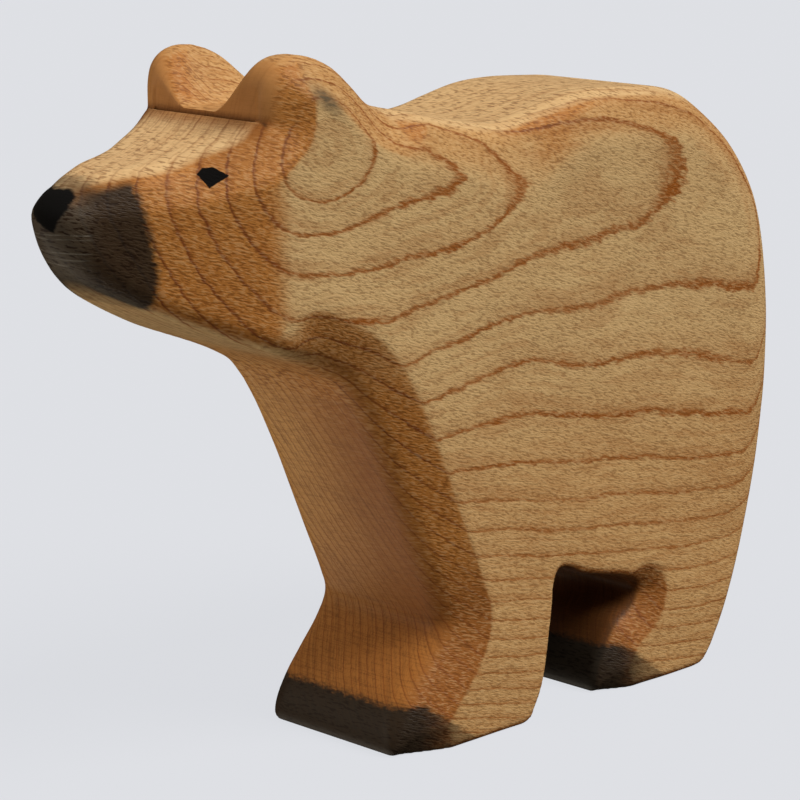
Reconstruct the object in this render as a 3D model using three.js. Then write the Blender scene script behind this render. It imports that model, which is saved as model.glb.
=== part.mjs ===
// A small standing bear of light maple, sawn from one board and carved by hand, all one solid.
// The sawn side outline is extruded across the board. Every vertex of that blank is then moved
// the way a knife and a sanding drum would take it: the face is tapered, a hollow is sunk
// between the ears, the long edges are bevelled, and the last arris is rounded.
//
// Millimetres. Lengths along the bear are stations, measured back from the nose tip. In the
// finished part +Z is up, the bear looks along -Y, and its left flank faces +X.

import * as THREE from 'three';
import { TessellateModifier } from 'three/addons/modifiers/TessellateModifier.js';
import { mergeVertices } from 'three/addons/utils/BufferGeometryUtils.js';

// Driving dimensions
const BOARD_THICKNESS = 30;
const BEAR_LENGTH = 127.7;
const KERF = [26.7, 88.0]; // station and height of the saw cut that stops at the ears
const SOLE_HEIGHT = 0;

// How the blank is divided
const STEPS_ACROSS = 10;
const POINTS_PER_SPAN = 2;
const LONGEST_EDGE = 7;
const MOST_DIVISIONS = 30;

// The face narrows from here to the nose
const CHEEK_STATION = 26.0;
const FACE_TAPER = 0.45; // loss of half thickness for each millimetre forward
const CHEEK_BLEND = 3;

// The hollow between the ears
const EAR_ROOT_HALF = 2; // half width of the hollow's floor
const EAR_CREST = 9; // distance of an ear's crest from the middle
const HOLLOW_SHARE = 0.08; // share of the ear's height that is left along the middle
const NAPE_STATION = 51;

// The side outline, stretch by stretch, as [station, height]. Each stretch is one smooth curve,
// and the arris where two stretches meet is sharp unless both run flat there.
const FACE_LINE = [
  KERF, [24.2, 86.2], [20, 84.8], [14.6, 83.6], [9.4, 82.8], [5, 82], [1.7, 80.6], [0, 78],
  [1.1, 74], [3.9, 70.3], [6.7, 68.1], [9.5, 66.5], [15.5, 63.6], [22.4, 60.6], [30.4, 57.4],
  [35.9, 55], [39.5, 52.9], [42.2, 49.8],
];
const CHEST_LINE = [
  [42.2, 49.8], [44.7, 45.6], [48.2, 38.6], [52.5, 29], [56.7, 19.6], [57.5, 16.9],
  [56.1, 14.2], [52.8, 10.4], [50, 6.9], [48.4, 3.2], [48.3, 0.7], [49.9, SOLE_HEIGHT],
];
const FRONT_SOLE = [[49.9, SOLE_HEIGHT], [71.6, SOLE_HEIGHT]];
const ARCH_LINE = [
  [71.6, SOLE_HEIGHT], [73.8, 1.7], [74.9, 3.6], [75.9, 6.8], [76.8, 12], [77.4, 16.5], [77.7, 19.3],
  [78.6, 20.9], [80.4, 20.8], [83.5, 19.4], [89.1, 18], [93.4, 16.9], [96, 15.6], [97, 13.9],
  [96, 11.9], [92.8, 9.9], [90.6, 7.2], [88.8, 3.8], [88.4, 0.8], [89.9, SOLE_HEIGHT],
];
const HIND_SOLE = [[89.9, SOLE_HEIGHT], [108.3, SOLE_HEIGHT]];
const BACK_LINE = [
  [108.3, SOLE_HEIGHT], [111.9, 1.5], [114.2, 3.9], [115.6, 5.6], [117.8, 10], [123.2, 23.5],
  [127, 37.5], [BEAR_LENGTH, 50], [127.1, 58.2], [125.4, 66.4], [122.6, 72.4], [117.8, 78.2],
  [112, 82.6], [107.4, 85.1], [102.4, 86.3], [96.4, 86.8], [89.4, 87.1], [83.4, 86.8],
  [76.9, 85.5], [71.9, 84.4], [67.9, 84.1], [62.4, 84.9], [54.4, 86.5], [49.4, 87.6],
];
const EAR_LINE = [
  [49.4, 87.6], [46, 88.4], [43.8, 89.6], [41.2, 91.8], [38.6, 93.8], [35, 95.3], [31.6, 95.7],
  [29, 95], [27.5, 93.5], [26.8, 91.2], KERF,
];

// Points along a stretch: a centripetal Catmull-Rom curve, or the two ends of a flat sole.
function sampled(line) {
  const points = line.map(([station, height]) => new THREE.Vector3(station, height, 0));
  if (points.length === 2) return points;
  const curve = new THREE.CatmullRomCurve3(points, false, 'centripetal');
  return curve.getPoints(POINTS_PER_SPAN * (points.length - 1));
}

const face = sampled(FACE_LINE);
const chest = sampled(CHEST_LINE);
const arch = sampled(ARCH_LINE);
const back = sampled(BACK_LINE);
const ear = sampled(EAR_LINE);
const stretches = [face, chest, sampled(FRONT_SOLE), arch, sampled(HIND_SOLE), back, ear];
const outline = stretches.flatMap((points) => points.slice(0, -1));

// Runs of the outline that carry a bevel of their own
const throatAndChest = [...face.slice(-3 * POINTS_PER_SPAN), ...chest];
const crown = [...ear, ...face.slice(1, 6 * POINTS_PER_SPAN)];
const hindInstep = arch.slice(-7 * POINTS_PER_SPAN);

const { smoothstep, clamp, lerp } = THREE.MathUtils;

// Distance from a point to an open run of points.
function distanceTo(run, station, height) {
  let nearest = Infinity;
  for (let i = 1; i < run.length; i += 1) {
    const [a, b] = [run[i - 1], run[i]];
    const [dx, dy] = [b.x - a.x, b.y - a.y];
    const along = ((station - a.x) * dx + (height - a.y) * dy) / (dx * dx + dy * dy);
    const t = clamp(along, 0, 1);
    nearest = Math.min(nearest, Math.hypot(station - a.x - t * dx, height - a.y - t * dy));
  }
  return nearest;
}

function isInside(station, height) {
  let inside = false;
  outline.forEach((a, i) => {
    const b = outline[(i + 1) % outline.length];
    if (a.y > height === b.y > height) return;
    const crossing = a.x + ((b.x - a.x) * (height - a.y)) / (b.y - a.y);
    if (station < crossing) inside = !inside;
  });
  return inside;
}

const closedOutline = [...outline, outline[0]];

// Signed distance to the side outline, negative inside.
function beyondOutline(station, height) {
  const distance = distanceTo(closedOutline, station, height);
  return isInside(station, height) ? -distance : distance;
}

// A bevel takes the full depth off at the edge and fades to nothing at its reach.
function bevel(run, station, height, { depth, reach, power }) {
  const share = clamp(1 - distanceTo(run, station, height) / reach, 0, 1);
  return depth * share ** power;
}

// Half of the wood's thickness at a place on the flank, bevels included.
function halfThickness(station, height) {
  const ahead = CHEEK_STATION - station;
  const blended = (ahead + CHEEK_BLEND) ** 2 / (4 * CHEEK_BLEND);
  const taper = ahead > CHEEK_BLEND ? ahead : ahead < -CHEEK_BLEND ? 0 : blended;
  const chestBevel = {
    depth: 3.2 * smoothstep(station, 23.4, 35.4),
    reach: 6.8,
    power: 1.3,
  };
  const backBevel = {
    depth: 2.5 * smoothstep(height, 8, 40),
    reach: 7.5 + 3 * Math.exp(-(((station - 70.4) / 7) ** 2)), // wider in the dip of the neck
    power: 1.6,
  };
  const browGrowth = 2.3 * smoothstep(station, 10.4, 18.4);
  const napeFade = 1.5 * smoothstep(station, 43.4, 55.4);
  const crownBevel = {
    depth: (1.7 + browGrowth - napeFade) * smoothstep(height, 76, 80),
    reach: 5.4,
    power: 1.2,
  };
  const instepBevel = { depth: 2.5, reach: 5, power: 1.3 };
  return (
    BOARD_THICKNESS / 2 -
    FACE_TAPER * taper -
    bevel(throatAndChest, station, height, chestBevel) -
    bevel(back, station, height, backBevel) -
    bevel(crown, station, height, crownBevel) -
    bevel(hindInstep, station, height, instepBevel)
  );
}

// Radius of the last rounding: crisp at the soles and in the arch, soft on nose and rump.
function arrisRadius(station, height) {
  const bySole = 0.4 + 2.1 * smoothstep(height, 0.5, 7);
  const underArch =
    smoothstep(station, 71.4, 75.4) *
    (1 - smoothstep(station, 96.4, 103.4)) *
    (1 - smoothstep(height, 21, 27));
  const atCrown = smoothstep(height, 76, 84) * (1 - smoothstep(station, 43.4, 59.4));
  const atNose = 1 - smoothstep(station, 3.4, 11.4);
  const atRump = smoothstep(station, 99.4, 111.4) * smoothstep(height, 30, 60);
  return (
    lerp(bySole, 1.1, underArch) -
    1.3 * atCrown * smoothstep(station, 11.4, 21.4) +
    1.0 * atNose +
    1.5 * atRump
  );
}

// How much of the ears' height stands at a distance from the middle.
function earShare(across) {
  return Math.max(smoothstep(Math.abs(across), EAR_ROOT_HALF, EAR_CREST), HOLLOW_SHARE);
}

// Height of a point of the blank once the hollow between the ears is sunk.
function hollowed(across, station, height) {
  const onEars = height > KERF[1] && station < NAPE_STATION;
  return onEars ? KERF[1] + (height - KERF[1]) * earShare(across) : height;
}

function unhollowed(across, station, height) {
  const onEars = height > KERF[1] && station < NAPE_STATION;
  return onEars ? KERF[1] + (height - KERF[1]) / earShare(across) : height;
}

// Zero on the carved surface, negative in the wood.
function carved(across, station, height) {
  const outOfSide = beyondOutline(station, unhollowed(across, station, height));
  const outOfFlank = Math.abs(across) - halfThickness(station, height);
  const radius = arrisRadius(station, height);
  const u = outOfFlank + radius;
  const v = outOfSide + radius;
  return u > 0 && v > 0 ? Math.hypot(u, v) - radius : Math.max(outOfFlank, outOfSide);
}

// Walks a point along the slope of carved() until it lies on the surface.
function walkedOn(point) {
  const reach = 0.02;
  for (let pass = 0; pass < 3; pass += 1) {
    const [x, s, z] = point;
    const slope = [
      carved(x + reach, s, z) - carved(x - reach, s, z),
      carved(x, s + reach, z) - carved(x, s - reach, z),
      carved(x, s, z + reach) - carved(x, s, z - reach),
    ].map((rise) => rise / (2 * reach));
    const steepness = slope.reduce((sum, part) => sum + part * part, 0);
    if (steepness > 0) {
      const step = carved(x, s, z) / steepness;
      point = point.map((value, axis) => value - step * slope[axis]);
    }
  }
  return point;
}

function bearGeometry() {
  const shape = new THREE.Shape(outline.map(({ x, y }) => new THREE.Vector2(x, y)));
  const blank = new THREE.ExtrudeGeometry(shape, {
    depth: BOARD_THICKNESS,
    steps: STEPS_ACROSS,
    bevelEnabled: false,
  });
  const divided = new TessellateModifier(LONGEST_EDGE, MOST_DIVISIONS).modify(blank);
  divided.deleteAttribute('normal');
  divided.deleteAttribute('uv');
  const geometry = mergeVertices(divided, 1e-3);

  const place = geometry.attributes.position;
  for (let i = 0; i < place.count; i += 1) {
    const station = place.getX(i);
    const height = place.getY(i);
    const fromMiddle = place.getZ(i) - BOARD_THICKNESS / 2;
    const across = (fromMiddle * 2 * halfThickness(station, height)) / BOARD_THICKNESS;
    const sunk = hollowed(across, station, height);
    const [x, s, z] = walkedOn([across, station, sunk]);
    place.setXYZ(i, x, s - BEAR_LENGTH / 2, Math.max(z, SOLE_HEIGHT));
  }
  geometry.computeVertexNormals();
  return geometry;
}

const maple = new THREE.MeshStandardMaterial({
  color: 0xb98a52,
  roughness: 0.5,
  metalness: 0,
});

const bear = new THREE.Mesh(bearGeometry(), maple);
bear.name = 'carved_bear';

const model = new THREE.Group();
model.add(bear);

export default model;
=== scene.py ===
"""The looks of a small carved wooden bear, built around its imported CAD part.

The CAD solid gives the bear's place and box. This script carves the same form finely: it
measures the sawn side outline, tapers the face, sinks the hollow between the ears, bevels and
rounds the arrises, and lays a mesh over the result. The wood is one procedural material with
growth rings, ray flecks, end grain and painted stains.

Form and wood work in millimetres. A place on the bear is (across, station, height): across is
measured from the middle towards the left flank, the station back from the nose tip, the height
up from the soles. Blender's objects are in metres, in the part's own frame.
"""

import math

import bpy
import numpy as np
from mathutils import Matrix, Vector


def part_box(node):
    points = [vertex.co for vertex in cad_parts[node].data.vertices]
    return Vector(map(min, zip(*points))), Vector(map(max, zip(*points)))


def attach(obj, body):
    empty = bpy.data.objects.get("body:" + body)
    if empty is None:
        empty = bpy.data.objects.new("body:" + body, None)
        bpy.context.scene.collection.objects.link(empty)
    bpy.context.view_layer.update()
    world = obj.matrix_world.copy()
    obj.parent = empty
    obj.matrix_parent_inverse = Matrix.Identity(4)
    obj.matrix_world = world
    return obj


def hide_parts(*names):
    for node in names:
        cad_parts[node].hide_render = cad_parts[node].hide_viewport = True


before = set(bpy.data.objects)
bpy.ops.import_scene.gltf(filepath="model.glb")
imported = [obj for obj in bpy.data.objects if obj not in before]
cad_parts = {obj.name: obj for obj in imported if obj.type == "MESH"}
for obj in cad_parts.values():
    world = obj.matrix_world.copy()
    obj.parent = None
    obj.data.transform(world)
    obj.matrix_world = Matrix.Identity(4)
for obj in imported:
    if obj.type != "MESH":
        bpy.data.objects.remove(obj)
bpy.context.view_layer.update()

# ---------------------------------------------------------------- sizes
MM = 0.001
NODE = "carved_bear"
LOW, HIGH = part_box(NODE)
NOSE_Y = LOW[1] / MM  # part frame Y of station 0
LENGTH = (HIGH[1] - LOW[1]) / MM
HALF_BOARD = (HIGH[0] - LOW[0]) / MM / 2
HEIGHT = (HIGH[2] - LOW[2]) / MM
CENTRE = (LOW + HIGH) / 2

KERF = (26.7, 88.0)  # where the sawn forehead meets the ears
KERF_SLOT = (26.65, 27.0)  # front and back wall of the saw slot
KERF_FLOOR = 87.4
KERF_END = 9.8  # how far the slot runs from the middle to either side
NAPE_STATION = 51.0
EAR_ROOT_HALF = 2.0
EAR_CREST = 9.6
HOLLOW_MIDDLE = -1.2  # the hollow was carved a little towards the far flank
HOLLOW_SHARE = 0.04
CHEEK_STATION = 26.0
FACE_TAPER = 0.45  # how much each side of the face closes in per millimetre towards the nose
TAPER_BLEND = 3.0

# Bevels beside the flanks' edges: depth, reach from the edge, and how hollow the slope is.
# The crown's is deeper from the eyes to the ears, and shallower again down the neck.
CHEST_BEVEL = (3.2, 7.2, 1.12)
BACK_BEVEL = (2.5, 7.5, 1.6)
CROWN_BEVEL = (1.7, 5.4, 1.2)
INSTEP_BEVEL = (2.5, 5.0, 1.3)

# Spacing of the mesh, and the stretches around the saw slot where it is finer
MESH_STEP = 0.6
MESH_MARGIN = 0.9
FINE_STATIONS = (26.2, 27.55)
FINE_STATION_STEP = 0.15
FINE_HEIGHTS = (86.95, 88.3)
FINE_HEIGHT_STEP = 0.22
SHARP_ANGLE = math.radians(50)

# ---------------------------------------------------------------- side outline
# Each stretch is one smooth curve through its points, as (station, height).
FACE_LINE = [
    KERF, (24.2, 86.2), (20, 84.8), (14.6, 83.6), (9.4, 82.8), (5, 82), (1.7, 80.6), (0, 78),
    (1.1, 74), (3.9, 70.3), (6.7, 68.1), (9.5, 66.5), (15.5, 63.6), (22.4, 60.6), (30.4, 57.4),
    (35.9, 55), (39.5, 52.9), (42.2, 49.8),
]
CHEST_LINE = [
    (42.2, 49.8), (44.7, 45.6), (48.2, 38.6), (52.5, 29), (56.7, 19.6), (57.5, 16.9),
    (56.1, 14.2), (52.8, 10.4), (50, 6.9), (48.4, 3.2), (48.3, 0.7), (48.9, 0.1), (49.9, 0),
]
FRONT_SOLE = [(49.9, 0), (71.6, 0)]
ARCH_LINE = [
    (71.6, 0), (73, 0.5), (73.8, 1.7), (74.9, 3.6), (75.9, 6.8), (76.8, 12), (77.4, 16.5), (77.7, 19.3),
    (78.6, 20.9), (80.4, 20.8), (83.5, 19.4), (89.1, 18), (93.4, 16.9), (96, 15.6), (97, 13.9),
    (96, 11.9), (92.8, 9.9), (90.6, 7.2), (88.8, 3.8), (88.4, 0.8), (89, 0.1), (89.9, 0),
]
HIND_SOLE = [(89.9, 0), (108.3, 0)]
BACK_LINE = [
    (108.3, 0), (110.4, 0.3), (111.9, 1.5), (114.2, 3.9), (115.6, 5.6), (117.8, 10),
    (123.2, 23.5), (127, 37.5), (127.7, 50), (127.1, 58.2), (125.4, 66.4), (122.6, 72.4),
    (117.8, 78.2), (112, 82.6),
    (107.4, 85.1), (102.4, 86.3), (96.4, 86.8), (89.4, 87.1), (83.4, 86.8), (76.9, 85.5),
    (71.9, 84.4), (67.9, 84.1), (62.4, 84.9), (54.4, 86.5), (49.4, 87.6),
]
EAR_LINE = [
    (49.4, 87.6), (46, 88.4), (43.8, 89.6), (41.2, 91.8), (38.6, 93.8), (35, 95.3),
    (31.6, 95.7), (29, 95), (27.5, 93.5), (26.8, 91.2), KERF,
]
POINTS_PER_SPAN = 6


def smooth(low, high, value):
    """Smooth step from 0 at low to 1 at high."""
    t = np.clip((value - low) / (high - low), 0, 1)
    return t * t * (3 - 2 * t)


def sampled(line):
    """Points along a stretch: a centripetal Catmull-Rom curve, or a flat sole's two ends."""
    nodes = np.array(line, float)
    if len(nodes) == 2:
        return nodes
    nodes = np.vstack([2 * nodes[0] - nodes[1], nodes, 2 * nodes[-1] - nodes[-2]])
    points = []
    for a, b, c, d in zip(nodes, nodes[1:], nodes[2:], nodes[3:]):
        knots = np.cumsum([0] + [math.sqrt(math.dist(p, q)) for p, q in ((a, b), (b, c), (c, d))])
        for t in np.linspace(knots[1], knots[2], POINTS_PER_SPAN, endpoint=False):
            def mix(p, q, start, end):
                return (p * (knots[end] - t) + q * (t - knots[start])) / (knots[end] - knots[start])

            ab, bc, cd = mix(a, b, 0, 1), mix(b, c, 1, 2), mix(c, d, 2, 3)
            points.append(mix(mix(ab, bc, 0, 2), mix(bc, cd, 1, 3), 1, 2))
    points.append(nodes[-2])
    return np.array(points)


def distance_to(run, places):
    """Distance from each (station, height) in places to an open run of points."""
    starts, spans = run[:-1], np.diff(run, axis=0)
    squares = (spans ** 2).sum(1)
    nearest = np.full(len(places), 1e9)
    for start, span, square in zip(starts, spans, squares):
        if square < 1e-12:
            continue
        offset = places - start
        along = np.clip(offset @ span / square, 0, 1)
        away = offset - along[:, None] * span
        np.minimum(nearest, (away ** 2).sum(1), out=nearest)
    return np.sqrt(nearest)


def is_inside(outline, places):
    """Which of the places lie inside a closed outline."""
    inside = np.zeros(len(places), bool)
    x, y = places.T
    for (ax, ay), (bx, by) in zip(outline, np.roll(outline, -1, axis=0)):
        if ay != by:
            crossing = (bx - ax) * (y - ay) / (by - ay) + ax
            inside ^= ((ay > y) != (by > y)) & (x < crossing)
    return inside


# ---------------------------------------------------------------- carved form
class Table:
    """Values on an even grid of stations and heights, read back between its points."""

    STEP = 0.3
    FIRST = (-3.0, -3.0)
    SHAPE = (452, 342)

    def __init__(self, values):
        self.values = values.reshape(self.SHAPE)

    @classmethod
    def places(cls):
        stations, heights = (
            first + cls.STEP * np.arange(count) for first, count in zip(cls.FIRST, cls.SHAPE)
        )
        return np.stack(np.meshgrid(stations, heights, indexing="ij"), -1).reshape(-1, 2)

    def __call__(self, station, height):
        rows, columns = self.SHAPE
        u = np.clip((station - self.FIRST[0]) / self.STEP, 0, rows - 1.001)
        v = np.clip((height - self.FIRST[1]) / self.STEP, 0, columns - 1.001)
        i, j = u.astype(int), v.astype(int)
        a, b = u - i, v - j
        low = self.values[i, j] * (1 - b) + self.values[i, j + 1] * b
        high = self.values[i + 1, j] * (1 - b) + self.values[i + 1, j + 1] * b
        return low * (1 - a) + high * a


class CarvedForm:
    """The bear's form as a field: negative in the wood, zero on its surface."""

    def __init__(self):
        lines = (FACE_LINE, CHEST_LINE, FRONT_SOLE, ARCH_LINE, HIND_SOLE, BACK_LINE, EAR_LINE)
        stretches = [sampled(line) for line in lines]
        face, chest, _, arch, _, back, ear = stretches
        outline = np.vstack([points[:-1] for points in stretches])
        places = Table.places()
        beyond = distance_to(np.vstack([outline, outline[:1]]), places)
        beyond[is_inside(outline, places)] *= -1
        self.beyond_outline = Table(beyond)
        throat_and_chest = np.vstack([face[-3 * POINTS_PER_SPAN:], chest])
        crown = np.vstack([ear, face[: int(5.5 * POINTS_PER_SPAN)]])
        hind_instep = arch[-7 * POINTS_PER_SPAN:]
        self.to_chest = Table(distance_to(throat_and_chest, places))
        self.to_back = Table(distance_to(back, places))
        self.to_crown = Table(distance_to(crown, places))
        self.to_instep = Table(distance_to(hind_instep, places))

    @staticmethod
    def bevel(distance, depth, reach, power):
        """How much a bevel takes off one side, at a distance from its edge."""
        return depth * np.clip(1 - distance / reach, 0, 1) ** power

    def half_thickness(self, s, z):
        """Half of the wood's thickness at a place on the flank, bevels included."""
        ahead = CHEEK_STATION - s
        blended = np.maximum(ahead + TAPER_BLEND, 0) ** 2 / (4 * TAPER_BLEND)
        taper = np.where(ahead > TAPER_BLEND, ahead, blended)
        behind_jaw = smooth(23.4, 35.4, s)
        above_heel = smooth(8, 40, z)
        near_top = smooth(76, 80, z)
        neck_widening = 3 * np.exp(-(((s - 70.4) / 7) ** 2))
        depth, reach, power = CHEST_BEVEL
        chest = self.bevel(self.to_chest(s, z), depth * behind_jaw, reach, power)
        depth, reach, power = BACK_BEVEL
        back = self.bevel(self.to_back(s, z), depth * above_heel, reach + neck_widening, power)
        depth, reach, power = CROWN_BEVEL
        depth = depth + 1.8 * smooth(10.4, 18.4, s) - 1.5 * smooth(43.4, 55.4, s)
        crown = self.bevel(self.to_crown(s, z), depth * near_top, reach, power)
        instep = self.bevel(self.to_instep(s, z), *INSTEP_BEVEL)
        return HALF_BOARD - FACE_TAPER * taper - chest - back - crown - instep

    @staticmethod
    def arris_radius(s, z):
        """Radius of the last rounding: crisp at soles and arch, soft on nose and rump."""
        by_sole = 0.9 + 1.6 * smooth(0.5, 7, z)
        under_arch = (
            smooth(71.4, 75.4, s) * (1 - smooth(96.4, 103.4, s)) * (1 - smooth(21, 27, z))
        )
        at_crown = smooth(76, 84, z) * (1 - smooth(43.4, 59.4, s))
        at_nose = 1 - smooth(3.4, 11.4, s)
        at_rump = smooth(99.4, 111.4, s) * smooth(30, 60, z)
        return (
            by_sole * (1 - under_arch)
            + 1.1 * under_arch
            - 1.3 * at_crown * smooth(11.4, 21.4, s)
            + 1.0 * at_nose
            + 1.5 * at_rump
        )

    @staticmethod
    def hand_waves(s, z):
        """Shallow waves that sanding by hand leaves on the flanks."""
        long_wave = np.sin(0.21 * s + 0.10 * z + 0.6) * np.sin(0.13 * z - 0.05 * s + 1.9)
        short_wave = np.sin(0.47 * s - 0.22 * z) * np.sin(0.39 * z + 0.17 * s + 0.8)
        return 0.09 * (long_wave - 1) + 0.03 * (short_wave - 1)

    def __call__(self, x, s, z):
        across = np.abs(x)
        from_hollow = np.abs(x - HOLLOW_MIDDLE)
        share = np.maximum(smooth(EAR_ROOT_HALF, EAR_CREST, from_hollow), HOLLOW_SHARE)
        floor = KERF[1] + 0.2 - 0.4 * smooth(27.4, 45.4, s)
        on_ears = (z > floor) & (s < NAPE_STATION)
        unhollowed = np.where(on_ears, floor + (z - floor) / share, z)
        out_of_side = self.beyond_outline(s, unhollowed)
        out_of_flank = across - self.half_thickness(s, z) - self.hand_waves(s, z)
        radius = self.arris_radius(s, z)
        u, v = out_of_flank + radius, out_of_side + radius
        rounded = np.hypot(np.maximum(u, 0), np.maximum(v, 0)) - radius
        carved = np.where((u > 0) & (v > 0), rounded, np.maximum(out_of_flank, out_of_side))
        front, rear = KERF_SLOT
        in_slot = np.minimum(np.minimum(s - front, rear - s), z - KERF_FLOOR)
        in_slot = np.minimum(in_slot, KERF_END - across)
        return np.maximum(carved, in_slot)


# ---------------------------------------------------------------- mesh over the form
def graded(low, high, fine=None, fine_step=None):
    """Grid planes from low to high, closer together inside the fine stretch."""
    if fine is None:
        return np.linspace(low, high, round((high - low) / MESH_STEP) + 1)
    first, last = fine
    parts = [(low, first, MESH_STEP), (first, last, fine_step), (last, high, MESH_STEP)]
    runs = [np.linspace(a, b, max(round((b - a) / h), 1), endpoint=False) for a, b, h in parts]
    return np.append(np.concatenate(runs), high)


def surface_net(form, planes):
    """Vertices and four-sided faces of a mesh that follows the form's surface."""
    grid = np.stack(np.meshgrid(*planes, indexing="ij"), -1)
    field = form(*np.moveaxis(grid, -1, 0))
    solid = field < 0
    cells = tuple(n - 1 for n in field.shape)
    total, count = np.zeros(cells + (3,)), np.zeros(cells)
    crossings = []
    for axis in range(3):
        near, far = ([slice(None)] * 3 for _ in range(2))
        near[axis], far[axis] = slice(0, -1), slice(1, None)
        near, far = tuple(near), tuple(far)
        crossed = np.argwhere(solid[near] != solid[far])
        ends = crossed.copy()
        ends[:, axis] += 1
        a, b = tuple(crossed.T), tuple(ends.T)
        share = (field[a] / (field[a] - field[b]))[:, None]
        points = grid[a] * (1 - share) + grid[b] * share
        crossings.append(crossed)
        first, second = (n for n in range(3) if n != axis)
        for shift in ((0, 0), (0, -1), (-1, 0), (-1, -1)):
            around = crossed.copy()
            around[:, first] += shift[0]
            around[:, second] += shift[1]
            valid = ((around >= 0) & (around < cells)).all(1)
            np.add.at(total, tuple(around[valid].T), points[valid])
            np.add.at(count, tuple(around[valid].T), 1)
    used = count > 0
    number = np.full(cells, -1)
    number[used] = np.arange(used.sum())
    faces = []
    for axis, crossed in enumerate(crossings):
        corners = []
        for shift in ((-1, -1), (0, -1), (0, 0), (-1, 0)):
            around = crossed.copy()
            around[:, (axis + 1) % 3] += shift[0]
            around[:, (axis + 2) % 3] += shift[1]
            corners.append(number[tuple(around.T)])
        quads = np.stack(corners, 1)
        leaving = ~solid[tuple(crossed.T)]
        quads[leaving] = quads[leaving][:, ::-1]
        faces.append(quads)
    return total[used] / count[used][:, None], np.vstack(faces)


def settled(form, points, passes=3, reach=0.02, longest=0.3):
    """Moves points along the form's slope, in short moves, until they lie on its surface."""
    for _ in range(passes):
        slope = np.zeros_like(points)
        for axis in range(3):
            step = np.zeros(3)
            step[axis] = reach
            slope[:, axis] = (form(*(points + step).T) - form(*(points - step).T)) / (2 * reach)
        steepness = np.maximum((slope ** 2).sum(1), 1e-6)
        move = -(form(*points.T) / steepness)[:, None] * slope
        points = points + np.clip(move, -longest, longest)
    return points


def carve_bear():
    """The bear's mesh, laid over its carved form and kept inside the CAD solid's box."""
    margin = MESH_MARGIN
    planes = [
        graded(-HALF_BOARD - margin, HALF_BOARD + margin),
        graded(-margin, LENGTH + margin, FINE_STATIONS, FINE_STATION_STEP),
        graded(-margin, HEIGHT + margin, FINE_HEIGHTS, FINE_HEIGHT_STEP),
    ]
    form = CarvedForm()
    points, quads = surface_net(form, planes)
    points = settled(form, points)
    x, s, z = points.T
    places = np.stack([x, s + NOSE_Y, np.maximum(z, 0)], 1) * MM
    places = np.clip(places, np.array(LOW), np.array(HIGH))
    mesh = bpy.data.meshes.new("bear")
    mesh.from_pydata(places.tolist(), [], quads.tolist())
    mesh.polygons.foreach_set("use_smooth", np.ones(len(quads), bool))
    mesh.set_sharp_from_angle(angle=SHARP_ANGLE)
    mesh.update()
    bear = bpy.data.objects.new("bear", mesh)
    bpy.context.collection.objects.link(bear)
    return bear


# ---------------------------------------------------------------- shader arithmetic
class Value:
    """A number that varies over the wood: arithmetic on it adds Math nodes to the tree."""

    tree = None

    def __init__(self, socket):
        self.socket = socket

    @classmethod
    def math(cls, operation, *inputs):
        node = cls.tree.nodes.new("ShaderNodeMath")
        node.operation = operation
        for slot, value in zip(node.inputs, inputs):
            plug(slot, value)
        return cls(node.outputs[0])

    def __add__(self, other):
        return self.math("ADD", self, other)

    def __radd__(self, other):
        return self.math("ADD", other, self)

    def __sub__(self, other):
        return self.math("SUBTRACT", self, other)

    def __rsub__(self, other):
        return self.math("SUBTRACT", other, self)

    def __mul__(self, other):
        return self.math("MULTIPLY", self, other)

    def __rmul__(self, other):
        return self.math("MULTIPLY", other, self)

    def __truediv__(self, other):
        return self.math("DIVIDE", self, other)

    def __abs__(self):
        return self.math("ABSOLUTE", self)

    def __neg__(self):
        return self.math("MULTIPLY", self, -1.0)


def plug(slot, value):
    """Feeds a socket from a Value, or sets it to a plain number."""
    if isinstance(value, Value):
        Value.tree.links.new(value.socket, slot)
    else:
        slot.default_value = value


def step_between(low, high, value):
    """Smooth step from 0 at low to 1 at high; low may lie above high."""
    node = Value.tree.nodes.new("ShaderNodeMapRange")
    node.interpolation_type = "SMOOTHSTEP"
    turned = low > high
    plug(node.inputs["Value"], value)
    node.inputs["From Min"].default_value = min(low, high)
    node.inputs["From Max"].default_value = max(low, high)
    node.inputs["To Min"].default_value = 1.0 if turned else 0.0
    node.inputs["To Max"].default_value = 0.0 if turned else 1.0
    return Value(node.outputs["Result"])


def largest(*values):
    result = values[0]
    for value in values[1:]:
        result = Value.math("MAXIMUM", result, value)
    return result


def smallest(*values):
    result = values[0]
    for value in values[1:]:
        result = Value.math("MINIMUM", result, value)
    return result


def bell(value, centre, width):
    """1 at the centre, falling off as a Gaussian does."""
    offset = (value - centre) / width
    return Value.math("EXPONENT", -(offset * offset))


def vector_of(x, y, z):
    node = Value.tree.nodes.new("ShaderNodeCombineXYZ")
    for slot, value in zip(node.inputs, (x, y, z)):
        plug(slot, value)
    return node.outputs[0]


def parts_of(socket):
    node = Value.tree.nodes.new("ShaderNodeSeparateXYZ")
    Value.tree.links.new(socket, node.inputs[0])
    return [Value(output) for output in node.outputs]


def noise(x, y, z, detail=2.0):
    """Perlin noise about 0.5 of a place given in units of the noise's own grain."""
    node = Value.tree.nodes.new("ShaderNodeTexNoise")
    Value.tree.links.new(vector_of(x, y, z), node.inputs["Vector"])
    node.inputs["Scale"].default_value = 1.0
    node.inputs["Detail"].default_value = detail
    return Value(node.outputs["Fac"])


def linear(colour):
    """Linear RGBA of a colour given as 0 to 255 sRGB."""
    values = [c / 255 for c in colour]
    return [c / 12.92 if c <= 0.04045 else ((c + 0.055) / 1.055) ** 2.4 for c in values] + [1.0]


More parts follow.
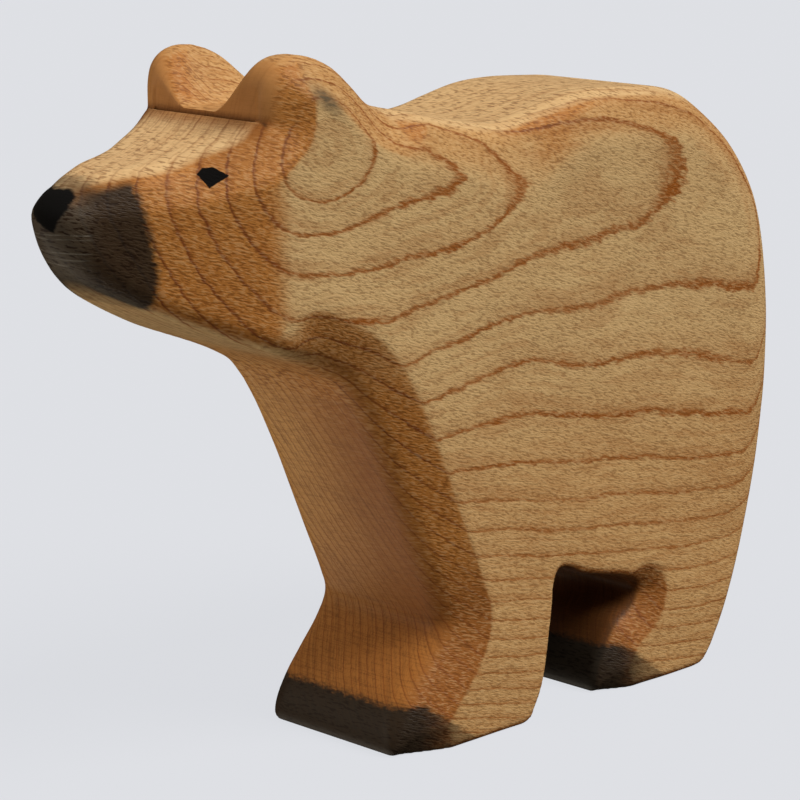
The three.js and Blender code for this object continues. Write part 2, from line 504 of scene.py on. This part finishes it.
def mixed(first, second, share):
    """Colour between two: each is a colour socket or a 0 to 255 sRGB colour."""
    node = Value.tree.nodes.new("ShaderNodeMix")
    node.data_type = "RGBA"
    plug(node.inputs["Factor"], share)
    for slot, colour in ((node.inputs[6], first), (node.inputs[7], second)):
        if isinstance(colour, tuple):
            slot.default_value = linear(colour)
        else:
            Value.tree.links.new(colour, slot)
    return node.outputs[2]


# ---------------------------------------------------------------- wood
FIBRE_TILT = math.radians(16.5)  # the fibres dip towards the rump

# The pith lies beyond the left flank. It comes nearest to the bear behind the cheek.
PITH_ACROSS = 69.0
PITH_HEIGHT = 80.0
PITH_NEAREST = 43.6
PITH_SLANT = (0.033, 0.152)  # how fast it draws away, forwards and rearwards
RING_AT_PITH = 49.6
RING_WIDTH = 4.4
RING_CROWDING = 0.0042
RING_STEEPNESS = 0.2  # rings gained per millimetre of depth behind the cheek
PITH_BEND = 2.5  # how softly it turns at its nearest
PITH_LEVEL_STATION = 60.0  # where its height is PITH_HEIGHT, sloping and curving from there
PITH_SLOPE = 0.34
PITH_CURVE = 0.002
LOIN_STATION = 78.0  # behind the loin the rings flatten out, softly
LOIN_SOFTNESS = 8.0
LOIN_FLATTENING = 0.052

# Places where the rings swell out or sink in: station, height, reach, and rings gained.
RING_SWELLS = [
    (34, 84, 7, -2.1), (22, 82, 7, -0.5), (20, 66, 10, -0.8), (53, 79, 7, -0.45),
    (64, 82, 10, -0.6), (92, 78, 14, -0.55), (66, 52, 14, 1.0), (100, 52, 16, 0.95),
]

# Colours as 0 to 255 sRGB
KHAKI = (212, 179, 127)
WARM = (188, 126, 62)
END_BROWN = (146, 92, 46)
# pale end grain tone, used only as painted light on the throat
END_PAINTED_LIGHT = (214, 164, 98)
HATCH_BROWN = (112, 68, 34)
LINE_BROWN = (122, 64, 30)
# painted shade inside the arch
ARCH_SHADE_BROWN = (62, 36, 22)
EAR_TONE = (204, 148, 90)
BLOND_HIGHLIGHT = (234, 200, 150)
RING_BROWN = (152, 88, 34)
FLECK_BROWN = (112, 66, 30)
STAIN = (40, 36, 30)
# dark stain, also used for the painted shade in the saw slot
DARK_STAIN_AND_SLOT_SHADE = (20, 17, 14)
STAIN_GREY = (68, 64, 56)
RUST = (120, 66, 34)
INK = (12, 11, 11)
SMUDGE = (98, 84, 64)
SCRATCH = (150, 146, 136)

OILED_ROUGHNESS = 0.45
INK_ROUGHER = 0.5
WOOD_SPECULAR = 0.12
BUMP_STRENGTH = 0.3
BUMP_HEIGHT = 0.10  # millimetres

# Painted marks, each a convex polygon: the eye by station and height, the nose by across and height
EYE = [(17.5, 82.15), (18.4, 82.85), (19.5, 82.9), (20.9, 81.85), (18.25, 80.5)]
NOSE = [
    (-3.0, 81.2), (2.1, 81.1), (2.9, 80.2), (3.1, 78.5), (2.4, 77.0), (1.9, 75.9), (-3.2, 79.4),
]

# Stains: where the muzzle's ends halfway up, and how high those on the feet reach
MUZZLE_EDGE = 11.9
MUZZLE_MIDDLE = 71.0
FRONT_TOE = 48.6
FRONT_STAIN_TOP = 6.7
HIND_TOE = 88.4
HIND_STAIN_TOP = 6.9
FOOT_STAIN_SLOPE = 0.73

# Smaller marks by station and height, and the scratches by height alone
SMUDGE_ENDS = ((32.2, 91.8), (36.2, 88.8))
SCRATCH_HEIGHTS = (75.7, 75.15, 73.4, 72.5, 71.7)
# where shade is painted into the saw slot, by station and height
SLOT_SHADE = (26.82, 87.6)


class WoodPlace:
    """Where a shaded point lies: in the bear, along its fibres, and which way it faces."""

    def __init__(self):
        coordinates = Value.tree.nodes.new("ShaderNodeTexCoord")
        raw_x, raw_y, raw_z = parts_of(coordinates.outputs["Object"])
        self.x = raw_x * (1 / MM)
        self.s = raw_y * (1 / MM) - NOSE_Y
        self.z = raw_z * (1 / MM)
        self.normal_x, normal_y, self.normal_z = parts_of(coordinates.outputs["Normal"])
        cosine, sine = math.cos(FIBRE_TILT), math.sin(FIBRE_TILT)
        self.along = self.s * cosine - self.z * sine
        self.upward = self.s * sine + self.z * cosine
        self.end_grain = self.normal_z * sine - normal_y * cosine


def ring_count(place):
    """Growth rings counted outwards, with their swells."""
    x, s, z = place.x, place.s, place.z
    behind = s - PITH_NEAREST
    bend = Value.math("SQRT", behind * behind + PITH_BEND ** 2) - PITH_BEND
    slant = PITH_SLANT[0] + (PITH_SLANT[1] - PITH_SLANT[0]) * step_between(-3, 3, behind)
    past_loin = s - LOIN_STATION
    softened = Value.math("SQRT", past_loin * past_loin + LOIN_SOFTNESS ** 2)
    flattening = LOIN_FLATTENING * (softened + past_loin)
    depth = PITH_ACROSS - x + slant * bend - flattening
    past_level = s - PITH_LEVEL_STATION
    height = z - PITH_HEIGHT + PITH_SLOPE * past_level - PITH_CURVE * past_level * past_level
    radius = Value.math("SQRT", depth * depth + height * height) - RING_AT_PITH
    rings = radius / RING_WIDTH + RING_CROWDING * radius * radius
    rings = rings + RING_STEEPNESS * (HALF_BOARD - x) * step_between(28, 34, s)
    for station, level, reach, gain in RING_SWELLS:
        spread = reach * math.sqrt(2)
        rings = rings + gain * bell(s, station, spread) * bell(z, level, spread)
    return rings


def within(polygon, u, v, softness):
    """1 inside a convex polygon that is listed either way round, fading over its edge."""
    middle = np.mean(polygon, axis=0)
    beyond = []
    for (au, av), (bu, bv) in zip(polygon, polygon[1:] + polygon[:1]):
        length = math.dist((au, av), (bu, bv))
        out_u, out_v = (bv - av) / length, (au - bu) / length
        if (middle[0] - au) * out_u + (middle[1] - av) * out_v > 0:
            out_u, out_v = -out_u, -out_v
        beyond.append(u * out_u + v * out_v - (au * out_u + av * out_v))
    return step_between(softness, -softness, largest(*beyond))


def muzzle_stain(place, ragged):
    """Share of charcoal stain on the muzzle: thinner on top and under the jaw."""
    above = largest(place.z - MUZZLE_MIDDLE, 0.0)
    below = largest(MUZZLE_MIDDLE - place.z, 0.0)
    edge = MUZZLE_EDGE - 0.19 * above - 0.02 * below * below
    share = step_between(0.5, -0.9, place.s - edge + 1.6 * ragged)
    on_top = step_between(0.5, 0.78, place.normal_z)
    thin_above = 1 - on_top * (0.35 + 0.65 * step_between(4.5, 7.5, place.s + 3 * ragged))
    thin_below = 1 - 0.75 * step_between(-0.76, -0.93, place.normal_z)
    return share * thin_above * thin_below


def foot_stain(place, front, top, ragged):
    """Share of stain on the front of a pair of feet: its edge drops behind the corner."""
    edge = top - FOOT_STAIN_SLOPE * largest(place.s - front - 4.6, 0.0)
    low = step_between(0.6, -0.7, place.z - edge + 1.5 * ragged)
    worn = 1 - 0.4 * step_between(front + 3, front + 11, place.s + 3 * ragged)
    return low * worn * step_between(front - 4, front - 3, place.s)


def charcoal_stain(place, ragged):
    """Share of charcoal stain anywhere on the bear."""
    ahead_of_hind = step_between(HIND_TOE - 12, HIND_TOE - 13, place.s)
    front_feet = foot_stain(place, FRONT_TOE, FRONT_STAIN_TOP, ragged)
    return largest(
        0.94 * muzzle_stain(place, ragged),
        0.96 * ahead_of_hind * front_feet,
        0.96 * foot_stain(place, HIND_TOE, HIND_STAIN_TOP, ragged),
    )


def ear_smudge(place, ragged):
    """Share of the grey smudge on the near ear, a soft streak between its two ends."""
    (high_s, high_z), (low_s, low_z) = SMUDGE_ENDS
    lie = math.atan2(low_z - high_z, low_s - high_s)
    from_s = place.s - (high_s + low_s) / 2
    from_z = place.z - (high_z + low_z) / 2
    along = from_s * math.cos(lie) + from_z * math.sin(lie)
    off = from_z * math.cos(lie) - from_s * math.sin(lie)
    soft = bell(along, 0.0, 2.8) * bell(off, 0.0, 1.2)
    return soft * step_between(5, 8, place.x) * (0.95 + 1.2 * ragged)


def ink_marks(place, ragged):
    """Share of black ink: an eye on each side, and the nose."""
    eye = within(EYE, place.s + 0.25 * ragged, place.z + 0.25 * ragged, 0.06)
    nose = within(NOSE, place.x + 0.6 * ragged, place.z + 0.5 * ragged, 0.2)
    return largest(eye * step_between(3, 4, abs(place.x)), nose * step_between(4.2, 3.4, place.s))


def muzzle_scratches(place, wave):
    """Share of the short pale scratches below the nose."""
    lines = largest(*(bell(place.z + 0.5 * wave, level, 0.09) for level in SCRATCH_HEIGHTS))
    broken = step_between(0.35, 0.6, noise(place.x / 2, place.z / 0.4, 0.0))
    return lines * step_between(4.6, 3.8, place.s) * broken


class WoodFacing:
    """How the surface lies at a place: along the fibres or across them, up or down."""

    def __init__(self, place):
        up, z = place.normal_z, place.z
        self.end = step_between(0.5, 0.85, place.end_grain)
        self.side = 1 - self.end
        under_jaw = step_between(-0.5, -0.8, up) * step_between(55, 59, z)
        # browner where the cut crosses the fibres, the wood's own tone; the term for faces turned down
        # is painted shade
        self.warmth_and_under_shade = largest(
            step_between(0.03, 0.30, place.end_grain) * (1 - under_jaw),
            0.5 * step_between(0.12, 0.34, up),
            0.9 * step_between(-0.08, -0.35, up) * (1 - under_jaw),
        )
        self.lit_top = step_between(0.66, 0.86, up) * step_between(60, 70, z)
        self.on_ears = step_between(87.5, 89, z)
        self.between_ears = step_between(86.5, 88.5, z) * step_between(50, 42, place.s)


class WoodGrain:
    """What the wood shows at a place. Noises are divided by their grain in millimetres."""

    def __init__(self, place):
        x, s, z = place.x, place.s, place.z
        along, upward = place.along, place.upward

        # uneven shifts about zero
        self.wave = noise(x / 6, s / 6, z / 6, detail=1) - 0.5
        self.cloud = noise(x / 9, s / 16, z / 9, detail=2) - 0.5
        self.streak = noise(x / 3, along / 9, upward / 0.8, detail=2) - 0.5
        row = upward + 0.8 * self.wave
        self.ragged = noise(x / 0.8, along / 1.6, row / 0.35, detail=2) - 0.5

        # ray flecks: short dark dashes along the fibre, in wavy rows, with sheen between them
        fleck = noise(x / 1.3, along / 0.9, row / 0.23, detail=1)
        self.dashes = step_between(0.53, 0.67, fleck)
        self.sheen = step_between(0.50, 0.34, fleck)

        # growth rings, with a jagged edge where they cross the fibres
        drift = noise(x / 14, s / 14, z / 14, detail=1) - 0.5
        jag = noise(x / 1.5, along / 2.4, upward / 0.9, detail=1) - 0.5
        self.rings = ring_count(place) + 0.25 * drift + 0.18 * jag + 0.14 * self.ragged
        self.line, self.glow = self.ring_lines(place)

        # end grain: rays run across the chest, thin growth layers run up it
        rays = step_between(0.48, 0.66, noise(x / 3.2, along / 6, upward / 0.17, detail=1))
        layers = noise(self.rings * 5.0, along / 12, upward / 7, detail=1)
        self.layers = step_between(0.48, 0.64, layers)
        pores = step_between(0.50, 0.68, noise(x / 0.22, along / 4, upward / 0.5, detail=1))
        self.hatch = smallest(0.30 * rays + 0.30 * self.layers + 0.28 * pores, 0.7)

    def ring_lines(self, place):
        """The dark line that ends each ring, and the browner wood that leads up to it."""
        phase = Value.math("FRACT", self.rings + 0.08)
        line = step_between(0.88, 0.99, phase) + step_between(0.08, 0.0, phase)
        strength = 0.6 + 0.8 * noise(place.x / 5, place.s / 11, place.z / 5, detail=1)
        crowded = 1 - 0.25 * step_between(6.5, 8.5, self.rings)
        on_top = step_between(0.6, 0.85, place.normal_z)
        on_ears = step_between(86.8, 88.2, place.z) * step_between(0.2, 0.5, place.end_grain)
        faint_above = 1 - largest(0.6 * on_top, 0.9 * on_ears)
        glow = step_between(0.5, 0.95, phase)
        return line * strength * crowded * faint_above, glow * faint_above


def bare_colour(place, facing):
    """Colour of the oiled wood before its grain is drawn, with painted light on the tops and the throat
    and painted shade on undersides.
    """
    x, s, z = place.x, place.s, place.z
    lower = 0.36 * step_between(60, 28, z)
    ground = mixed(KHAKI, WARM, largest(facing.warmth_and_under_shade * (1 - 0.8 * facing.lit_top), lower))
    # painted light: the throat and chest are paler towards the far flank, and more where they face down
    throat_painted_light = step_between(10, -12, x) * step_between(-8, 54, z) * step_between(62, 56, z)
    end_tone = mixed(mixed(END_BROWN, END_PAINTED_LIGHT, throat_painted_light), EAR_TONE, 0.8 * facing.on_ears)
    end_tone = mixed(end_tone, WARM, 0.6 * step_between(17, 13, z))
    ground = mixed(ground, end_tone, facing.end)
    low_bevel = facing.warmth_and_under_shade * facing.side * step_between(30, 18, z)
    ground = mixed(ground, RUST, 0.5 * low_bevel)
    facing_down = step_between(-0.2, -0.5, place.normal_z)
    ground = mixed(ground, END_PAINTED_LIGHT, 0.6 * throat_painted_light * facing_down)
    # painted light: faces turned up are paler, less towards the rump and between the ears, where they
    # are warmer instead
    painted_top_light = (0.75 - 0.25 * step_between(40, 50, s)) * facing.lit_top
    ground = mixed(ground, BLOND_HIGHLIGHT, painted_top_light * (1 - 0.7 * facing.between_ears))
    return mixed(ground, WARM, 0.6 * facing.between_ears * facing.lit_top)


def grained_colour(ground, place, facing, grain):
    """A bare colour with rings, flecks and end grain, with painted shade in the arch and the saw slot.
    """
    s, z = place.s, place.z
    browning = 0.20 * grain.glow + 0.22 * (grain.streak + 0.5) + 0.35 * grain.cloud
    ground = mixed(ground, RING_BROWN, browning)
    ground = mixed(ground, mixed(RING_BROWN, LINE_BROWN, facing.warmth_and_under_shade), 0.88 * grain.line)
    fleck_share = (0.38 + 0.22 * facing.warmth_and_under_shade) * grain.dashes * facing.side
    ground = mixed(ground, FLECK_BROWN, fleck_share)
    ground = mixed(ground, BLOND_HIGHLIGHT, 0.22 * grain.sheen * facing.side)

    # painted shade: the sawn faces inside the arch are darkened where shadow falls
    sawn = step_between(0.8, 0.55, abs(place.normal_x))
    arch_shade = sawn * step_between(73, 75, s) * step_between(100, 98, s) * step_between(24, 21, z)
    ground = mixed(ground, ARCH_SHADE_BROWN, 0.85 * arch_shade)

    hatch_share = grain.hatch * facing.end * (1 - 0.8 * facing.on_ears)
    ground = mixed(ground, HATCH_BROWN, hatch_share)
    ground = mixed(ground, RING_BROWN, 0.22 * grain.layers * facing.side)
    # painted shade: a dark spot in the saw slot stands in for its shadow
    in_slot = bell(s, SLOT_SHADE[0], 0.25) * bell(z, SLOT_SHADE[1], 0.45)
    return mixed(ground, DARK_STAIN_AND_SLOT_SHADE, 0.6 * in_slot)


def painted_colour(ground, place, grain, ink):
    """A wood colour with the charcoal stain, the smudge, the ink and the scratches on it."""
    stain = mixed(STAIN, STAIN_GREY, step_between(6, 2, place.s))
    stain = mixed(stain, DARK_STAIN_AND_SLOT_SHADE, grain.dashes)
    ground = mixed(ground, stain, charcoal_stain(place, grain.ragged))
    ground = mixed(ground, SMUDGE, ear_smudge(place, grain.ragged))
    ground = mixed(ground, INK, ink)
    return mixed(ground, SCRATCH, 0.35 * muzzle_scratches(place, grain.wave))


def wood_material():
    material = bpy.data.materials.new("oiled_maple")
    material.use_nodes = True
    tree = Value.tree = material.node_tree
    tree.nodes.clear()
    output = tree.nodes.new("ShaderNodeOutputMaterial")
    shader = tree.nodes.new("ShaderNodeBsdfPrincipled")
    tree.links.new(shader.outputs[0], output.inputs["Surface"])

    place = WoodPlace()
    facing = WoodFacing(place)
    grain = WoodGrain(place)
    ink = ink_marks(place, grain.ragged)
    colour = bare_colour(place, facing)
    colour = grained_colour(colour, place, facing, grain)
    colour = painted_colour(colour, place, grain, ink)
    tree.links.new(colour, shader.inputs["Base Color"])

    plug(shader.inputs["Roughness"], OILED_ROUGHNESS + INK_ROUGHER * ink)
    shader.inputs["Specular IOR Level"].default_value = WOOD_SPECULAR
    bump = tree.nodes.new("ShaderNodeBump")
    bump.inputs["Strength"].default_value = BUMP_STRENGTH
    bump.inputs["Distance"].default_value = BUMP_HEIGHT * MM
    plug(bump.inputs["Height"], (grain.sheen - grain.dashes) * facing.side)
    tree.links.new(bump.outputs[0], shader.inputs["Normal"])
    return material


# ---------------------------------------------------------------- stage
CAMERA_AZIMUTH = math.radians(45)
CAMERA_DROP = math.radians(12.5)
CAMERA_DISTANCE = 0.402
AIM_OFFSET = Vector((-0.65, -1.54, -2.44)) * MM
FOCAL_LENGTH = 131.5
SENSOR_WIDTH = 36
BACKGROUND = (223, 225, 230)
SKY = (238, 226, 206)
SKY_LOW = 0.05  # strength at the horizon and below, and what it gains overhead
SKY_GAIN = 0.34
FLOOR_TONE = (60, 60, 62)
FLOOR_GLOW = 0.93
FLOOR_REACH = 6.0
SUNS = [  # name, azimuth, elevation, strength, width and colour
    ("key", 112, 50, 2.9, 30, (1.0, 0.97, 0.92)),
    ("left", -25, 8, 0.75, 40, (1.0, 0.90, 0.76)),
    ("bounce", -40, -55, 1.05, 60, (1.0, 0.93, 0.80)),
]


def place_camera():
    """A long lens that looks a little down on the bear's face and left flank."""
    camera = bpy.data.objects.new("camera", bpy.data.cameras.new("camera"))
    camera.data.lens = FOCAL_LENGTH
    camera.data.sensor_width = SENSOR_WIDTH
    camera.data.clip_start = 0.01
    camera.rotation_euler = (math.pi / 2 - CAMERA_DROP, 0, CAMERA_AZIMUTH)
    backwards = camera.rotation_euler.to_matrix() @ Vector((0, 0, 1))
    camera.location = CENTRE + AIM_OFFSET + CAMERA_DISTANCE * backwards
    bpy.context.collection.objects.link(camera)
    bpy.context.scene.camera = camera


def add_sun(name, azimuth, elevation, strength, width, colour):
    """A soft distant light that comes from an azimuth seen as the camera's is."""
    light = bpy.data.lights.new(name, "SUN")
    light.energy = strength
    light.angle = math.radians(width)
    light.color = colour
    sun = bpy.data.objects.new(name, light)
    sun.rotation_euler = (math.radians(90 - elevation), 0, math.radians(azimuth))
    bpy.context.collection.objects.link(sun)


def light_stage():
    """An even backdrop for the camera, a dim sky for everything else, and the suns."""
    world = bpy.data.worlds.new("studio")
    bpy.context.scene.world = world
    world.use_nodes = True
    tree = world.node_tree
    tree.nodes.clear()
    output = tree.nodes.new("ShaderNodeOutputWorld")
    choice = tree.nodes.new("ShaderNodeMixShader")
    rays = tree.nodes.new("ShaderNodeLightPath")
    tree.links.new(rays.outputs["Is Camera Ray"], choice.inputs[0])
    direction = tree.nodes.new("ShaderNodeTexCoord")
    Value.tree = tree
    upness = parts_of(direction.outputs["Generated"])[2]
    for slot, colour, strength in (
        (1, SKY, SKY_LOW + SKY_GAIN * step_between(-0.1, 0.7, upness)),
        (2, BACKGROUND, 1.0),
    ):
        background = tree.nodes.new("ShaderNodeBackground")
        background.inputs["Color"].default_value = linear(colour)
        plug(background.inputs["Strength"], strength)
        tree.links.new(background.outputs[0], choice.inputs[slot])
    tree.links.new(choice.outputs[0], output.inputs["Surface"])
    for sun in SUNS:
        add_sun(*sun)


def lay_floor():
    """A pale floor that glows as the backdrop does, and neither shades nor lights the bear."""
    mesh = bpy.data.meshes.new("floor")
    reach = FLOOR_REACH
    corners = [(-reach, -reach), (reach, -reach), (reach, reach), (-reach, reach)]
    mesh.from_pydata([(x, y, 0) for x, y in corners], [], [(0, 1, 2, 3)])
    floor = bpy.data.objects.new("floor", mesh)
    bpy.context.collection.objects.link(floor)
    material = bpy.data.materials.new("pale_floor")
    material.use_nodes = True
    tree = material.node_tree
    shader = tree.nodes["Principled BSDF"]
    shader.inputs["Base Color"].default_value = linear(FLOOR_TONE)
    shader.inputs["Roughness"].default_value = 1.0
    shader.inputs["Specular IOR Level"].default_value = 0.0
    shader.inputs["Emission Color"].default_value = linear(BACKGROUND)
    shader.inputs["Emission Strength"].default_value = FLOOR_GLOW
    mesh.materials.append(material)
    floor.visible_diffuse = False
    floor.visible_glossy = False
    floor.visible_shadow = False


place_camera()
light_stage()
lay_floor()
bpy.context.scene.view_settings.view_transform = "Standard"

bear = carve_bear()
bear.data.materials.append(wood_material())
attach(bear, "root")
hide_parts(NODE)
